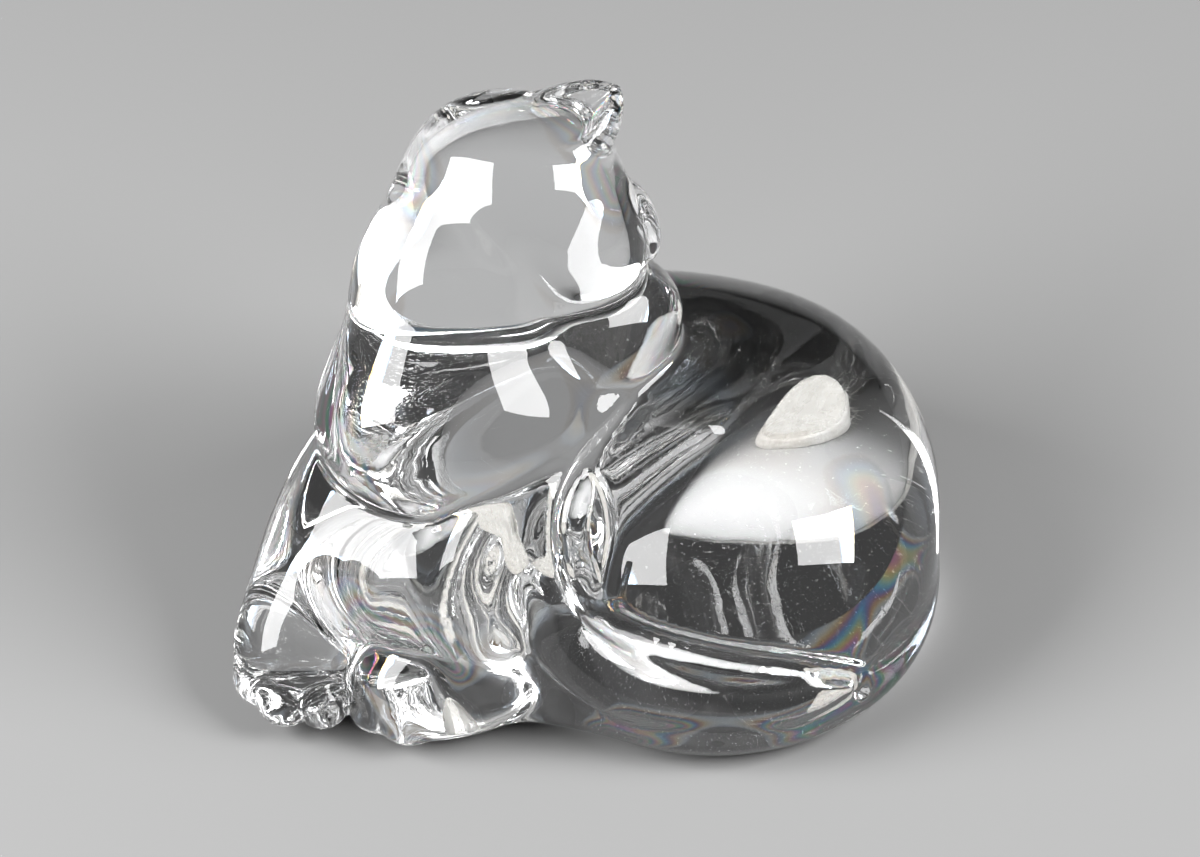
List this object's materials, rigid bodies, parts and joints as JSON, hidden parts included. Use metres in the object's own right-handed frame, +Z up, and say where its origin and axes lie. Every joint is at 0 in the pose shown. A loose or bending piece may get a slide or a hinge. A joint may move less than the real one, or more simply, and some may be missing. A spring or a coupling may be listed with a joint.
{
  "type": "glass cat figurine",
  "caption": "Solid clear crystal figurine of a lying cat that looks back over its shoulder, on round felt pads.",
  "frame": {"origin": "middle of the figurine's footprint, on the plane that its felt pads stand on", "axes": "+Z up, +X from the front paws to the rump, +Y from the near flank to the far side"},
  "size_m": [0.1153, 0.0857, 0.0936],
  "materials": {
    "lead_crystal": "fire-polished and hand-polished clear lead crystal, with a ground and polished underside",
    "white_wool_felt": "pressed white wool felt, matt and slightly hairy",
    "acrylic_adhesive": "thin translucent film of acrylic adhesive"
  },
  "bodies": {
    "root": {"crystal_cat": "lead_crystal", "front_left_felt": "white_wool_felt", "front_right_felt": "white_wool_felt", "back_left_felt": "white_wool_felt", "back_right_felt": "white_wool_felt", "front_left_adhesive": "acrylic_adhesive", "front_right_adhesive": "acrylic_adhesive", "back_left_adhesive": "acrylic_adhesive", "back_right_adhesive": "acrylic_adhesive"}
  },
  "joints": []
}
